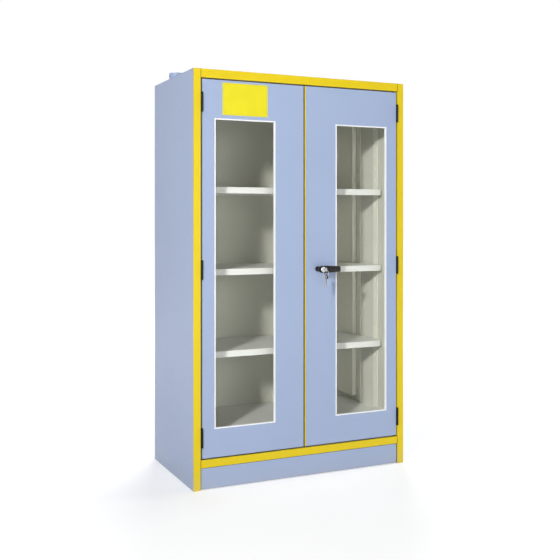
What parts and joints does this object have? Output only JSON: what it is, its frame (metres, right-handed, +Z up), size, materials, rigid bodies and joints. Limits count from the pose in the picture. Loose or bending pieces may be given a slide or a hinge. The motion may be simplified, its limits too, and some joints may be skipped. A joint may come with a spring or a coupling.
{
  "type": "flammable safety cabinet",
  "caption": "Tall fire-resistant storage cabinet with glazed hinged doors, a lever handle, shelves over a spill sump, and vent collars on the roof.",
  "frame": {"origin": "under the middle of the cabinet's bounding box, on the floor", "axes": "+X along the front to the viewer's right, +Y from the doors to the back, +Z up"},
  "size_m": [1.14, 0.7076, 2.005],
  "materials": {
    "blue_paint": "satin powder coat",
    "yellow_paint": "satin powder coat",
    "white_paint": "satin powder coat",
    "faced_board": "off-white laminate on fire-resistant board",
    "trim_white": "satin",
    "fire_glass": "clear laminated fire glass",
    "seal_strip": "matte",
    "zinc_steel": "zinc plated",
    "black_steel": "satin black",
    "chrome": "polished",
    "black_plastic": "smooth black"
  },
  "bodies": {
    "cabinet": {"left_side_panel": "blue_paint", "right_side_panel": "blue_paint", "back_panel": "blue_paint", "roof_panel": "blue_paint", "base_plate": "blue_paint", "plinth_panel": "blue_paint", "left_post": "yellow_paint", "right_post": "yellow_paint", "top_rail": "yellow_paint", "bottom_rail": "yellow_paint", "left_wall_board": "faced_board", "right_wall_board": "faced_board", "back_wall_board": "faced_board", "floor_board": "faced_board", "ceiling_board": "faced_board", "door_seal": "seal_strip", "spill_tray": "zinc_steel", "tray_cover": "white_paint", "left_front_upright": "white_paint", "left_rear_upright": "white_paint", "right_front_upright": "white_paint", "right_rear_upright": "white_paint", "shelf_1": "white_paint", "shelf_2": "white_paint", "shelf_3": "white_paint", "left_air_duct": "white_paint", "right_air_duct": "white_paint", "left_air_collar": "blue_paint", "right_air_collar": "blue_paint", "left_hinge_pin_bottom": "black_steel", "left_hinge_pin_middle": "black_steel", "left_hinge_pin_top": "black_steel", "right_hinge_pin_bottom": "black_steel", "right_hinge_pin_middle": "black_steel", "right_hinge_pin_top": "black_steel"},
    "left_door": {"left_door_skin": "blue_paint", "left_door_board": "faced_board", "left_door_glass": "fire_glass", "left_window_trim": "trim_white", "left_hinge_leaf_bottom": "black_steel", "left_hinge_leaf_middle": "black_steel", "left_hinge_leaf_top": "black_steel"},
    "right_door": {"right_door_skin": "blue_paint", "right_door_board": "faced_board", "right_door_glass": "fire_glass", "right_window_trim": "trim_white", "meeting_strip": "yellow_paint", "handle_rose": "black_plastic", "right_hinge_leaf_bottom": "black_steel", "right_hinge_leaf_middle": "black_steel", "right_hinge_leaf_top": "black_steel"},
    "handle": {"handle_lever": "chrome", "handle_grip": "black_plastic", "drive_pinion": "zinc_steel"},
    "key": {"lock_plug": "chrome", "lock_key": "chrome"},
    "upper_bolt": {"upper_rod": "zinc_steel"},
    "lower_bolt": {"lower_rod": "zinc_steel"},
    "left_damper_flap": {"left_damper": "zinc_steel"},
    "right_damper_flap": {"right_damper": "zinc_steel"}
  },
  "joints": [
    {"name": "left_door_swing", "type": "hinge", "parent": "cabinet", "child": "left_door", "pos_m": [-0.53, -0.2617, 1.0125], "axis": [0, 0, -1], "range_deg": [0, 110]},
    {"name": "right_door_swing", "type": "hinge", "parent": "cabinet", "child": "right_door", "pos_m": [0.53, -0.2617, 1.0125], "axis": [0, 0, 1], "range_deg": [0, 110]},
    {"name": "handle_turn", "type": "hinge", "parent": "right_door", "child": "handle", "pos_m": [0.072, -0.3078, 1.01], "axis": [0, 1, 0], "range_deg": [0, 90]},
    {"name": "key_turn", "type": "hinge", "parent": "handle", "child": "key", "pos_m": [0.072, -0.3188, 1.01], "axis": [0, 1, 0], "range_deg": [0, 90]},
    {"name": "upper_bolt_slide", "type": "slide", "parent": "right_door", "child": "upper_bolt", "axis": [0, 0, 1], "range_m": [0, 0.024]},
    {"name": "lower_bolt_slide", "type": "slide", "parent": "right_door", "child": "lower_bolt", "axis": [0, 0, -1], "range_m": [0, 0.024]},
    {"name": "left_damper_turn", "type": "hinge", "parent": "cabinet", "child": "left_damper_flap", "pos_m": [-0.485, 0.2488, 1.945], "axis": [1, 0, 0], "range_deg": [0, 90]},
    {"name": "right_damper_turn", "type": "hinge", "parent": "cabinet", "child": "right_damper_flap", "pos_m": [0.485, 0.2488, 1.945], "axis": [1, 0, 0], "range_deg": [0, 90]}
  ],
  "couplings": [
    {"joint": "upper_bolt_slide", "follows": "handle_turn", "m_per_rad": 0.015278},
    {"joint": "lower_bolt_slide", "follows": "handle_turn", "m_per_rad": 0.015278}
  ]
}
